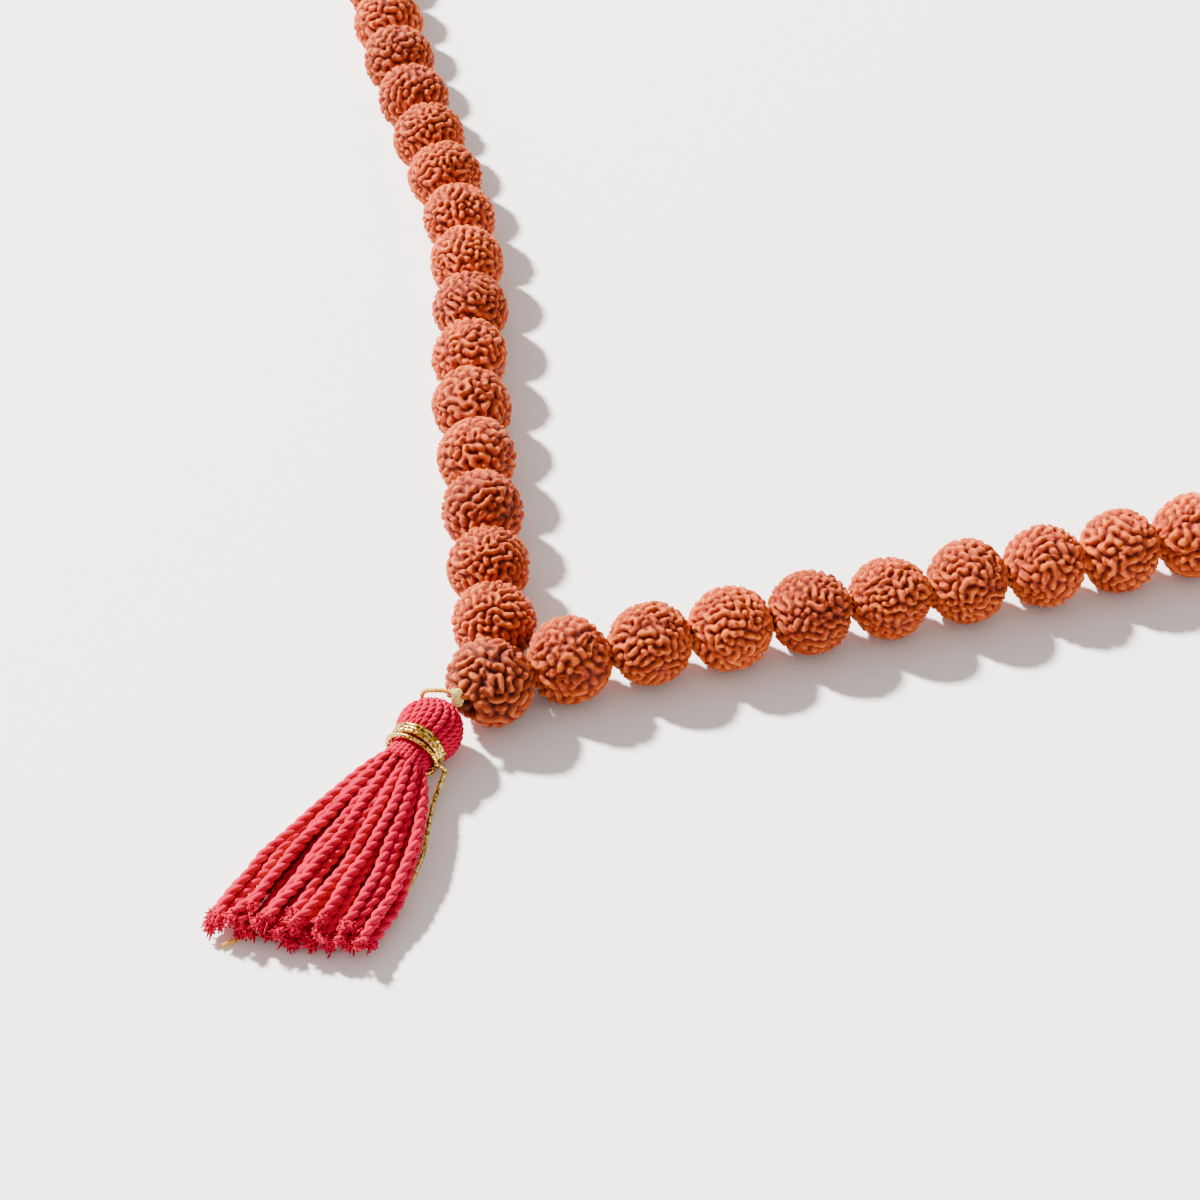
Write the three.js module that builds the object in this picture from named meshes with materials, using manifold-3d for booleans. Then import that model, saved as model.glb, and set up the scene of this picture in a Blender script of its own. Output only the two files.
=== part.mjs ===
// Mala: 108 drilled rudraksha seeds and one larger guru seed on a single cord, closed below the
// guru seed by a knot that carries a yarn tassel bound with gilt thread.
// Millimetres, +Z up. The origin is on the resting facet of the guru seed. The loop lies flat in
// the XY plane and the tassel points towards -Y.

import * as THREE from 'three';
import { mergeVertices } from 'three/addons/utils/BufferGeometryUtils.js';
import Module from 'manifold-3d';

const wasm = await Module();
wasm.setup();

// Seeds
const BEAD_COUNT = 108;
const BEAD_RADIUS = 4.0;          // across the flats, so a seed rests on a facet
const BEAD_LENGTH = 7.7;          // along the bore; neighbours keep 0.3 mm
const BEAD_BORE = 0.8;
const BEAD_SIDES = 8;
const JOINED_MOUTH = 1.3;         // outside radius where two seeds of one run meet
const SHOULDER = { r: 0.68, y: 0.72 };  // shares of the radius
const GURU_RADIUS = 4.2;
const GURU_LENGTH = 7.9;
const GURU_BORE = 1.0;
const GURU_BEARING = 237;         // degrees; the bore's front mouth faces the tassel
const GURU_TO_FIRST = 8.05;       // guru centre to the first seed of each strand

// Strands: seeds modelled one by one beside the guru seed, then runs of seeds
const SINGLE_SEEDS = { left: 15, right: 9 };
const PIVOT_SEED = { left: 27, right: 26 };  // the strand folds beyond this seed
const FOLD_FACE = 3.5;            // half length of a seed towards a fold, so that it clears
const LAST_SEED = BEAD_COUNT / 2;
const NEAR_RUNS = { left: 3, right: 4 };
const FAR_RUNS = { left: 7, right: 7 };
const FAR_GAP = 8.4;              // last seed to last seed, with slack for the open pivot

// Stringing cord
const CORD_RADIUS = 0.3;
const CORD_SIDES = 8;
const CORD_GAP = 0.15;            // half the gap between two lengths of cord

// Route of the bore centres, from the guru seed out along the left strand, round the far side
// and back along the right strand
const ROUTE = [
  [0, 0], [0, 10], [-3, 40], [-5, 70], [-15, 110], [-20, 150], [-10, 190], [20, 230],
  [60, 265], [100, 300], [130, 318], [165, 320], [195, 300], [208, 260], [205, 220],
  [195, 170], [183, 120], [165, 80], [140, 52], [100, 31], [50, 15], [10, 4], [0, 0],
];

// Knot and hanger
const KNOT = { at: [-2.8, -3.45, 5.2], radius: 0.42 };
const HANGER_KNOT = { at: [-3.0, -3.2, 6.05], radius: 0.5 };
const HANGER_RADIUS = 0.22;

// Tassel, in its own frame: +X runs from the head's middle down the skirt, +Z is up
const TASSEL_AT = [-5.5, -5.2, 3.2];
const TASSEL_BEARING = 243;       // degrees
const HEAD_RADIUS = 2.95;
const EYE = { direction: [-0.75, 2.75, 0.75], radius: 0.5, depth: 1.3 };
const NECK_RADIUS = 2.2;
const BINDING = { inner: 2.5, outer: 2.95, from: 2.4, to: 3.7 };
const LOWER_WRAP = { inner: 2.5, outer: 2.9, from: 4.1, to: 4.55 };
const SKIRT = { from: 2.5, neckTo: 4.9, to: 25, halfWidth: 7.4, sides: 16, rings: 8 };
const SKIRT_HALF_HEIGHT = { neck: 2.2, end: 1.8 };
const SKIRT_SKEW = 2.3;           // the left edge is longer and the right edge shorter by this

// Loose end of the gilt binding thread: down beside the skirt, then under the yarn ends
const TAIL_RADIUS = 0.225;
const TAIL_ROUTE = [
  [-4, -9.5, 2], [-5, -12.5, 1], [-5.5, -16, 0.3], [-6, -19, 0.3], [-8, -24, 0.3],
  [-13, -27, 0.3], [-19, -26.5, 0.3], [-23, -28.5, 0.3],
];

const MATERIALS = {
  seed: { color: '#b5562c', roughness: 0.7, metalness: 0 },
  guru: { color: '#9c4526', roughness: 0.7, metalness: 0 },
  cord: { color: '#7a2a22', roughness: 0.85, metalness: 0 },
  knot: { color: '#e8dda0', roughness: 0.75, metalness: 0 },
  yarn: { color: '#c8183a', roughness: 0.9, metalness: 0 },
  gilt: { color: '#c9a13a', roughness: 0.35, metalness: 0.9 },
};

const degrees = THREE.MathUtils.degToRad;
const mala = new THREE.Group();

function addPiece(parent, name, geometry, finish) {
  const mesh = new THREE.Mesh(geometry, new THREE.MeshStandardMaterial(MATERIALS[finish]));
  mesh.name = name;
  parent.add(mesh);
  return mesh;
}

// Joining and cutting

function solidOf(geometry) {
  const bare = geometry.clone();
  bare.deleteAttribute('normal');
  bare.deleteAttribute('uv');
  const merged = mergeVertices(bare, 1e-4);
  return new wasm.Manifold(new wasm.Mesh({
    numProp: 3,
    vertProperties: new Float32Array(merged.attributes.position.array),
    triVerts: new Uint32Array(merged.index.array),
  }));
}

function geometryOf(solid) {
  const { numProp, vertProperties, triVerts } = solid.getMesh();
  const geometry = new THREE.BufferGeometry();
  const positions = new Float32Array((vertProperties.length / numProp) * 3);
  for (let i = 0; i < positions.length / 3; i++) {
    positions.set(vertProperties.subarray(i * numProp, i * numProp + 3), i * 3);
  }
  geometry.setAttribute('position', new THREE.BufferAttribute(positions, 3));
  geometry.setIndex(new THREE.BufferAttribute(new Uint32Array(triVerts), 1));
  return geometry;
}

// A tube with flat ends along a smooth line through the points
function tube(points, radius, steps) {
  const section = new THREE.Shape();
  for (let i = 0; i < CORD_SIDES; i++) {
    const angle = (i / CORD_SIDES) * 2 * Math.PI;
    const [x, y] = [radius * Math.cos(angle), radius * Math.sin(angle)];
    if (i === 0) section.moveTo(x, y);
    else section.lineTo(x, y);
  }
  section.closePath();
  const path = new THREE.CatmullRomCurve3(points.map((p) => new THREE.Vector3(...p)));
  return new THREE.ExtrudeGeometry(section, { steps, bevelEnabled: false, extrudePath: path });
}

// Seeds

// Turned about +Y from [radius, y] points. Radii are measured to the flats; one flat faces -Z.
function seedLathe(outline) {
  const toCorner = 1 / Math.cos(Math.PI / BEAD_SIDES);
  const profile = outline.map(([r, y]) => new THREE.Vector2(r * toCorner, y));
  return new THREE.LatheGeometry(profile, BEAD_SIDES, Math.PI / BEAD_SIDES);
}

// One drilled seed, with flats at its middle that it can rest on
function seedGeometry({ radius, length, bore, flat }) {
  const half = length / 2;
  const [r, y] = [SHOULDER.r * radius, SHOULDER.y * radius];
  return seedLathe([
    [bore, -half], [r, -y], [radius, -flat], [radius, flat], [r, y], [bore, half], [bore, -half],
  ]);
}

const SINGLE = { radius: BEAD_RADIUS, length: BEAD_LENGTH, bore: BEAD_BORE, flat: 1.1 };
const GURU = { radius: GURU_RADIUS, length: GURU_LENGTH, bore: GURU_BORE, flat: 1.2 };

// Turns +Y of a seed to a heading in the XY plane and keeps its +Z up
function layAlong(object, heading) {
  object.rotation.z = heading - Math.PI / 2;
  return object;
}

// Route

const route = new THREE.CatmullRomCurve3(
  ROUTE.map(([x, y]) => new THREE.Vector3(x, y, BEAD_RADIUS)), false, 'catmullrom', 0.5);
route.arcLengthDivisions = 4000;
const ROUTE_LENGTH = route.getLength();
const SEED_PITCH = (ROUTE_LENGTH - 2 * GURU_TO_FIRST - FAR_GAP) / (BEAD_COUNT - 2);

// A point and a heading, at a distance from the guru seed along one strand
function placeAt(side, distance) {
  const share = (side === 'left' ? distance : ROUTE_LENGTH - distance) / ROUTE_LENGTH;
  const tangent = route.getTangentAt(share);
  if (side === 'right') tangent.negate();
  return { point: route.getPointAt(share), heading: Math.atan2(tangent.y, tangent.x) };
}

const seedDistance = (number) => GURU_TO_FIRST + (number - 1) * SEED_PITCH;
const numbered = (name, number) => `${name}_${String(number).padStart(2, '0')}`;

function addSingleSeeds(side) {
  for (let number = 1; number <= SINGLE_SEEDS[side]; number++) {
    const { point, heading } = placeAt(side, seedDistance(number));
    const bead = addPiece(mala, numbered(`bead_${side}`, number), seedGeometry(SINGLE), 'seed');
    layAlong(bead, heading).position.copy(point);
  }
}

// Seeds first to last as one solid: turned straight, joined at their mouths, then bent along
// the route so that their bores stay in line
function runGeometry(side, first, last) {
  const start = seedDistance(first);
  const front = first === PIVOT_SEED[side] + 1 ? FOLD_FACE : BEAD_LENGTH / 2;
  const back = last === PIVOT_SEED[side] ? FOLD_FACE : BEAD_LENGTH / 2;
  const outer = [[BEAD_BORE, -front]];
  const inner = [];
  for (let seed = 0; seed <= last - first; seed++) {
    const middle = seed * SEED_PITCH;
    if (seed > 0) outer.push([JOINED_MOUTH, middle - SEED_PITCH / 2]);
    outer.push([SHOULDER.r * BEAD_RADIUS, middle - SHOULDER.y * BEAD_RADIUS]);
    outer.push([BEAD_RADIUS, middle]);
    outer.push([SHOULDER.r * BEAD_RADIUS, middle + SHOULDER.y * BEAD_RADIUS]);
    inner.unshift([BEAD_BORE, middle]);
  }
  outer.push([BEAD_BORE, (last - first) * SEED_PITCH + back]);
  const geometry = seedLathe([...outer, ...inner, outer[0]]);
  const position = geometry.attributes.position;
  for (let i = 0; i < position.count; i++) {
    const { point, heading } = placeAt(side, start + position.getY(i));
    const across = position.getX(i);
    position.setXYZ(i, point.x + across * Math.sin(heading),
      point.y - across * Math.cos(heading), point.z + position.getZ(i));
  }
  return geometry;
}

function addRuns(side, name, first, last, count) {
  const total = last - first + 1;
  for (let run = 0; run < count; run++) {
    const from = first + Math.round((run * total) / count);
    const to = first + Math.round(((run + 1) * total) / count) - 1;
    addPiece(mala, numbered(name, run + 1), runGeometry(side, from, to), 'seed');
  }
}

// One length of cord inside the bores, from one distance to another
function addCord(side, name, from, to) {
  const steps = Math.round((to - from) / SEED_PITCH);
  const points = [];
  for (let i = 0; i <= steps; i++) {
    points.push(placeAt(side, from + ((to - from) * i) / steps).point.toArray());
  }
  addPiece(mala, name, tube(points, CORD_RADIUS, steps), 'cord');
}

function addStrand(side) {
  const start = GURU_TO_FIRST - BEAD_LENGTH / 2;
  const fold = seedDistance(PIVOT_SEED[side]) + SEED_PITCH / 2;
  const end = seedDistance(LAST_SEED) + FAR_GAP / 2;
  addSingleSeeds(side);
  addRuns(side, `run_${side}_near`, SINGLE_SEEDS[side] + 1, PIVOT_SEED[side], NEAR_RUNS[side]);
  addRuns(side, `run_${side}_far`, PIVOT_SEED[side] + 1, LAST_SEED, FAR_RUNS[side]);
  addCord(side, `cord_${side}_near`, start, fold - CORD_GAP);
  addCord(side, `cord_${side}_far`, fold + CORD_GAP, end - 2 * CORD_GAP);
}

// Guru seed, its cord and the knots

function addGuru() {
  const bearing = degrees(GURU_BEARING);
  const bead = addPiece(mala, 'guru_bead', seedGeometry(GURU), 'guru');
  layAlong(bead, bearing).position.set(0, 0, GURU_RADIUS);
  const along = (distance, height) =>
    [distance * Math.cos(bearing), distance * Math.sin(bearing), height];
  const cordRoute = [
    along(-3.7, GURU_RADIUS), along(0, GURU_RADIUS), along(3.4, GURU_RADIUS),
    along(4.1, GURU_RADIUS + 0.12), along(4.42, GURU_RADIUS + 0.5),
  ];
  addPiece(mala, 'cord_guru', tube(cordRoute, CORD_RADIUS, 10), 'cord');
  addKnot('guru_knot', KNOT);
  addKnot('hanger_knot', HANGER_KNOT);
}

function addKnot(name, { at, radius }) {
  const knot = addPiece(mala, name, new THREE.IcosahedronGeometry(radius, 1), 'knot');
  knot.position.set(...at);
}

// Tassel

// A solid or ring turned about the tassel's own X axis, from [radius, x] points
function turned(profile, sides) {
  const points = profile.map(([r, x]) => new THREE.Vector2(r, -x));
  return new THREE.LatheGeometry(points, sides).rotateZ(Math.PI / 2);
}

function headGeometry() {
  const [big, neck] = [HEAD_RADIUS, NECK_RADIUS];
  const ball = turned([
    [0, 2.15], [neck - 0.1, 2.15], [2.5, 1.7], [big, 0.6], [big, -0.6], [2.4, -1.9],
    [1.3, -2.7], [0, -2.95],
  ], 14);
  const eye = new THREE.Mesh(new THREE.CylinderGeometry(EYE.radius, EYE.radius, 2 * EYE.depth, 8));
  const outward = new THREE.Vector3(...EYE.direction).normalize();
  outward.applyAxisAngle(new THREE.Vector3(0, 0, 1), -degrees(TASSEL_BEARING));
  eye.quaternion.setFromUnitVectors(new THREE.Vector3(0, 1, 0), outward);
  eye.position.copy(outward).multiplyScalar(HEAD_RADIUS);
  eye.updateMatrix();
  return geometryOf(solidOf(ball).subtract(solidOf(eye.geometry.applyMatrix4(eye.matrix))));
}

function wrapGeometry({ inner, outer, from, to }) {
  const profile = [[inner, to], [outer, to], [outer, from], [inner, from], [inner, to]];
  return turned(profile, 18);
}

// The yarns from the neck down: round at the binding, then a flat fan with a slanting end
function skirtGeometry() {
  const { from, neckTo, to, halfWidth, sides, rings } = SKIRT;
  const geometry = new THREE.CylinderGeometry(1, 1, 1, sides, rings);
  const position = geometry.attributes.position;
  for (let i = 0; i < position.count; i++) {
    const [across, up] = [position.getX(i), position.getZ(i)];
    const share = 0.5 - position.getY(i);
    const x = share < 1 / rings
      ? THREE.MathUtils.lerp(from, neckTo, share * rings)
      : THREE.MathUtils.lerp(neckTo, to, (share * rings - 1) / (rings - 1));
    const spread = Math.max(0, (x - neckTo) / (to - neckTo));
    const width = THREE.MathUtils.lerp(
      NECK_RADIUS, halfWidth, Math.sin((spread * Math.PI) / 2) ** 1.1);
    const height = THREE.MathUtils.lerp(SKIRT_HALF_HEIGHT.neck, SKIRT_HALF_HEIGHT.end, spread);
    const middle = -0.1 - 0.4 * spread;
    const skew = -SKIRT_SKEW * across * spread ** 2;
    position.setXYZ(i, x + skew, across * width, middle + up * height);
  }
  return geometry;
}

function addTassel() {
  const tassel = new THREE.Group();
  tassel.position.set(...TASSEL_AT);
  tassel.rotation.z = degrees(TASSEL_BEARING);
  mala.add(tassel);
  addPiece(tassel, 'tassel_head', headGeometry(), 'yarn');
  addPiece(tassel, 'tassel_skirt', skirtGeometry(), 'yarn');
  addPiece(tassel, 'binding_band', wrapGeometry(BINDING), 'gilt');
  addPiece(tassel, 'binding_lower_wrap', wrapGeometry(LOWER_WRAP), 'gilt');
  const hangerRoute = [
    [-3.72, -3.0, 6.1], [-4.2, -2.85, 6.05], [-5.1, -2.75, 6.0], [-5.95, -2.35, 5.5],
    [-6.3, -2.15, 4.7], [-6.2, -2.5, 4.05], [-6.05, -3.1, 3.8],
  ];
  addPiece(mala, 'hanger_thread', tube(hangerRoute, HANGER_RADIUS, 12), 'gilt');
  addPiece(mala, 'gilt_tail', tube(TAIL_ROUTE, TAIL_RADIUS, 26), 'gilt');
}

addGuru();
addStrand('left');
addStrand('right');
addTassel();

export default mala;
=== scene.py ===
"""Looks of the mala: wrinkled seeds on one cord, closed by a knot and a bound yarn tassel."""

import logging
import math
from dataclasses import dataclass, field
from enum import Enum
from typing import Sequence

import bmesh
import bpy
import numpy as np
from mathutils import Matrix, Vector


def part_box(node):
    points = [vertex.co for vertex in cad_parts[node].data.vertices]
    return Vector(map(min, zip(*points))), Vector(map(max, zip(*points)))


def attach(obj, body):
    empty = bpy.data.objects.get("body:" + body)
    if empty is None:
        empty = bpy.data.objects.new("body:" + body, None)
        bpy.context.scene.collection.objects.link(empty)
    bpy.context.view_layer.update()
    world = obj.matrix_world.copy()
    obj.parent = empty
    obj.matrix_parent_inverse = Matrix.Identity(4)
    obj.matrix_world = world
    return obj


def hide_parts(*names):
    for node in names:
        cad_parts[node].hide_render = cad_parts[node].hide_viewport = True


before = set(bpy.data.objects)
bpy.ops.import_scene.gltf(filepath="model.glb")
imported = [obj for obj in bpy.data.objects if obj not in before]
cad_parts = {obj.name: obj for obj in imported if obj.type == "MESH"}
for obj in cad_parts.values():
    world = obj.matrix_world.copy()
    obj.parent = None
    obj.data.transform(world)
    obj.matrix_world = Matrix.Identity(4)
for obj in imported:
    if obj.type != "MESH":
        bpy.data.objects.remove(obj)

log = logging.getLogger("mala")
MM = 0.001
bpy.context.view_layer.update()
Array = np.ndarray
Node = bpy.types.Node


# ---------------------------------------------------------------------------
# Sizes shared with the model, in millimetres
# ---------------------------------------------------------------------------

SEED_COUNT = 108
GURU_TO_FIRST = 8.05
FAR_GAP = 8.4
PIVOT_SEED = {"left": 27, "right": 26}
SEED_HEIGHT = 4.0
GURU_BEARING = 237  # degrees; the guru seed's bore points roughly at the tassel
GROWTH_ROUNDS = 9  # rounds in which a seed's ridges take shape
FOLD_LENGTH = 0.93  # the seeds on both sides of a fold are shorter, so that they clear
SINGLE_SEEDS = {"left": 15, "right": 9}
NEAR_RUNS = {"left": 3, "right": 4}
FAR_RUNS = {"left": 7, "right": 7}

# Route of the bore centres, out along the left strand and back along the right one
ROUTE = [
    (0, 0), (0, 10), (-3, 40), (-5, 70), (-15, 110), (-20, 150), (-10, 190), (20, 230),
    (60, 265), (100, 300), (130, 318), (165, 320), (195, 300), (208, 260), (205, 220),
    (195, 170), (183, 120), (165, 80), (140, 52), (100, 31), (50, 15), (10, 4), (0, 0),
]

# Thread from the knot over the tassel head and down into its yarns
HANGER_ROUTE = [
    (-3.5, -3.05, 6.1), (-4.2, -2.85, 6.05), (-5.1, -2.75, 6.0), (-5.95, -2.35, 5.5),
    (-6.3, -2.15, 4.7), (-6.2, -2.5, 4.05), (-6.05, -3.1, 3.8),
]

# Spacing of the points along the skirt's yarns, the head's yarns and the gilt threads
YARN_STEP = 0.2
HEAD_STEP = 0.16
ZARI_STEP = 0.07

# Fine fibres: radii along one at a cut end, how many a ply has there, radius of the fuzz
END_FIBRE = (0.11, 0.11, 0.09, 0.06)
END_FIBRES = 34
FUZZ_RADIUS = 0.016

# Strip wound round a gilt thread: length of one turn, then its relief and the spread of its
# crinkles as shares of the thread's radius
STRIP_PITCH = 0.42
STRIP_RELIEF = 0.13
STRIP_CRINKLE = 0.035

# Loose gilt thread end: beside the skirt, then under the yarn ends
TAIL_ROUTE = [
    (-4, -9.5, 2), (-5, -12.5, 1), (-5.5, -16, 0.3), (-6, -19, 0.3), (-8, -24, 0.3),
    (-13, -27, 0.3), (-19, -26.5, 0.3), (-23, -28.5, 0.3),
]


# ---------------------------------------------------------------------------
# Small helpers
# ---------------------------------------------------------------------------


def linear(code: str) -> tuple[float, float, float, float]:
    """Turns an sRGB hex colour into Blender's linear RGBA.

    Args:
        code: Six hex digits with a leading #.

    Returns:
        The linear colour with alpha 1.
    """
    channels = (int(code[i : i + 2], 16) / 255 for i in (1, 3, 5))
    return (*(c / 12.92 if c <= 0.04045 else ((c + 0.055) / 1.055) ** 2.4 for c in channels), 1.0)


def smoothstep(low: float, high: float, value: Array | float) -> Array | float:
    """Eases from 0 at low to 1 at high."""
    share = np.clip((value - low) / (high - low), 0.0, 1.0)
    return share * share * (3 - 2 * share)


def deselect() -> None:
    """Clears the selection, because operators act on all that is selected."""
    bpy.ops.object.select_all(action="DESELECT")


def mesh_points(mesh: bpy.types.Mesh) -> Array:
    """Returns a mesh's vertex positions as an (n, 3) array."""
    points = np.empty(len(mesh.vertices) * 3)
    mesh.vertices.foreach_get("co", points)
    return points.reshape(-1, 3)


def set_points(mesh: bpy.types.Mesh, points: Array) -> None:
    """Writes vertex positions back to a mesh."""
    mesh.vertices.foreach_set("co", points.astype(np.float32).ravel())
    mesh.update()


def set_attribute(mesh: bpy.types.Mesh, name: str, values: Array) -> None:
    """Stores one number for each vertex, for a material to read."""
    layer = mesh.attributes.new(name, "FLOAT", "POINT")
    layer.data.foreach_set("value", values.astype(np.float32))


def catmull_rom(points: Sequence[Sequence[float]], steps: int) -> Array:
    """Samples a uniform Catmull-Rom line of tension 0.5 through the points.

    Args:
        points: The points that the line passes through.
        steps: Samples between two points.

    Returns:
        The sampled line, as an (n, dimensions) array.
    """
    knots = np.asarray(points, float)
    knots = np.vstack([2 * knots[0] - knots[1], knots, 2 * knots[-1] - knots[-2]])
    t = np.linspace(0, 1, steps, endpoint=False)[:, None]
    line = []
    for a, b, c, d in zip(knots, knots[1:], knots[2:], knots[3:]):
        start, end = (c - a) / 2, (d - b) / 2
        line.append(
            (2 * b - 2 * c + start + end) * t**3
            + (3 * c - 3 * b - 2 * start - end) * t**2
            + start * t
            + b
        )
    return np.vstack([*line, knots[-2:-1]])


def resampled(line: Array, spacing: float) -> Array:
    """Spaces the points of a line evenly, at about the given distance."""
    lengths = np.r_[0, np.cumsum(np.linalg.norm(np.diff(line, axis=0), axis=1))]
    count = max(2, round(lengths[-1] / spacing) + 1)
    places = np.linspace(0, lengths[-1], count)
    return np.stack([np.interp(places, lengths, line[:, k]) for k in range(line.shape[1])], 1)


def sideways(line: Array) -> tuple[Array, Array]:
    """Finds two unit vectors across a line at each of its points.

    Args:
        line: Points of the line.

    Returns:
        The vectors, which turn with the line without twisting round it.
    """
    tangent = np.gradient(line, axis=0)
    tangent /= np.linalg.norm(tangent, axis=1, keepdims=True)
    first = np.empty_like(line)
    guess = np.array([0.0, 0.0, 1.0]) if abs(tangent[0, 2]) < 0.9 else np.array([1.0, 0.0, 0.0])
    for i, direction in enumerate(tangent):
        guess = guess - direction * guess.dot(direction)
        guess = guess / np.linalg.norm(guess)
        first[i] = guess
    return first, np.cross(tangent, first)


@dataclass
class Strands:
    """A set of round threads that become one mesh.

    Fields:
        sides: Sides of each thread.
        lines: The threads, each with its points and its radius at each point.
    """

    sides: int = 6
    lines: list[tuple[Array, Array]] = field(default_factory=list)

    def add(self, line: Array, radius: Array | float) -> None:
        """Adds one thread, in millimetres."""
        self.lines.append((line, np.broadcast_to(radius, len(line))))

    def add_twisted(
        self,
        line: Array,
        plies: int,
        ply_radius: Array | float,
        offset: Array | float,
        pitch: float,
        phase: float,
    ) -> list[Array]:
        """Adds a yarn of several plies twisted round each other.

        Args:
            line: Points of the yarn's middle, evenly spaced.
            plies: Number of plies.
            ply_radius: Radius of one ply, at each point or all along.
            offset: Distance of a ply's middle from the yarn's.
            pitch: Length of one full turn.
            phase: Turn at the start, in radians.

        Returns:
            The middle line of each ply.
        """
        first, second = sideways(line)
        spacing = np.linalg.norm(line[1] - line[0])
        turn = phase + 2 * np.pi * np.arange(len(line)) * spacing / pitch
        offset = np.broadcast_to(offset, len(line))[:, None]
        middles = []
        for ply in range(plies):
            angle = (turn + 2 * np.pi * ply / plies)[:, None]
            middle = line + offset * (np.cos(angle) * first + np.sin(angle) * second)
            self.add(middle, ply_radius)
            middles.append(middle)
        return middles

    def build(self, name: str, material: bpy.types.Material) -> bpy.types.Object:
        """Makes the threads a curve, then a mesh with closed ends.

        Args:
            name: Name of the new object.
            material: Its finish.

        Returns:
            The mesh object, in metres.
        """
        curve = bpy.data.curves.new(name, "CURVE")
        curve.dimensions = "3D"
        curve.bevel_depth = 1.0 * MM
        curve.bevel_resolution = max(0, (self.sides - 4) // 2)
        curve.use_fill_caps = True
        for line, radius in self.lines:
            spline = curve.splines.new("POLY")
            spline.points.add(len(line) - 1)
            flat = np.c_[line * MM, np.ones(len(line))]
            spline.points.foreach_set("co", flat.ravel())
            spline.points.foreach_set("radius", np.asarray(radius, float))
        threads = bpy.data.objects.new(name, curve)
        bpy.context.collection.objects.link(threads)
        deselect()
        threads.select_set(True)
        bpy.context.view_layer.objects.active = threads
        bpy.ops.object.convert(target="MESH")
        threads = bpy.context.object
        threads.name = name
        threads.data.materials.clear()
        threads.data.materials.append(material)
        bpy.ops.object.shade_smooth()
        return threads


# ---------------------------------------------------------------------------
# Finishes
# ---------------------------------------------------------------------------


class Coat:
    """Builds one material's node tree."""

    def __init__(self, name: str) -> None:
        """Starts a material with a Principled surface."""
        self.material = bpy.data.materials.new(name)
        self.material.use_nodes = True
        self.tree = self.material.node_tree
        self.surface = self.tree.nodes["Principled BSDF"]

    def node(self, kind: str, settings: dict | None = None, **links: object) -> Node:
        """Adds a node with its settings and links.

        Args:
            kind: Blender's name of the node type, without its prefix.
            settings: Properties, and socket values under their socket's name.
            links: Sockets to feed, with spaces as underscores, each from an output.

        Returns:
            The new node.
        """
        made = self.tree.nodes.new("ShaderNode" + kind)
        for key, value in (settings or {}).items():
            if isinstance(key, str) and hasattr(made, key):
                setattr(made, key, value)
            else:
                made.inputs[key].default_value = value
        for key, source in links.items():
            place = int(key[1:]) if key[0] == "i" and key[1:].isdigit() else key.replace("_", " ")
            self.tree.links.new(source, made.inputs[place])
        return made

    def ramp(self, source: object, *stops: tuple[float, str]) -> Node:
        """Adds a colour ramp over a value, from places and hex colours."""
        made = self.node("ValToRGB", None, Fac=source)
        band = made.color_ramp
        while len(band.elements) < len(stops):
            band.elements.new(0.5)
        for element, (place, code) in zip(band.elements, stops):
            element.position = place
            element.color = linear(code)
        return made

    def blend(self, factor: object, first: object, second: object, mode: str = "MIX") -> object:
        """Mixes two colours and returns the result's socket."""
        made = self.node("Mix", {"data_type": "RGBA", "blend_type": mode})
        for index, value in ((0, factor), (6, first), (7, second)):
            if isinstance(value, bpy.types.NodeSocket):
                self.tree.links.new(value, made.inputs[index])
            else:
                made.inputs[index].default_value = value
        return made.outputs[2]

    def noise(self, per_mm: float, detail: float = 2.0, **settings: float) -> Node:
        """Adds noise on Object coordinates, with its scale in features per millimetre."""
        place = self.node("TexCoord").outputs["Object"]
        values = {"Scale": per_mm / MM, "Detail": detail, **settings}
        return self.node("TexNoise", values, Vector=place)

    def bump(self, height: object, depth_mm: float, strength: float = 1.0) -> None:
        """Feeds a height in the range 0 to 1 to the surface as relief."""
        made = self.node("Bump", {"Strength": strength, "Distance": depth_mm * MM}, Height=height)
        self.tree.links.new(made.outputs["Normal"], self.surface.inputs["Normal"])

    def feed(self, socket: str, source: object) -> None:
        """Links an output to the surface."""
        self.tree.links.new(source, self.surface.inputs[socket])

    def fix(self, **values: object) -> None:
        """Sets the surface's own sockets, with spaces as underscores."""
        for key, value in values.items():
            self.surface.inputs[key.replace("_", " ")].default_value = value


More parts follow.
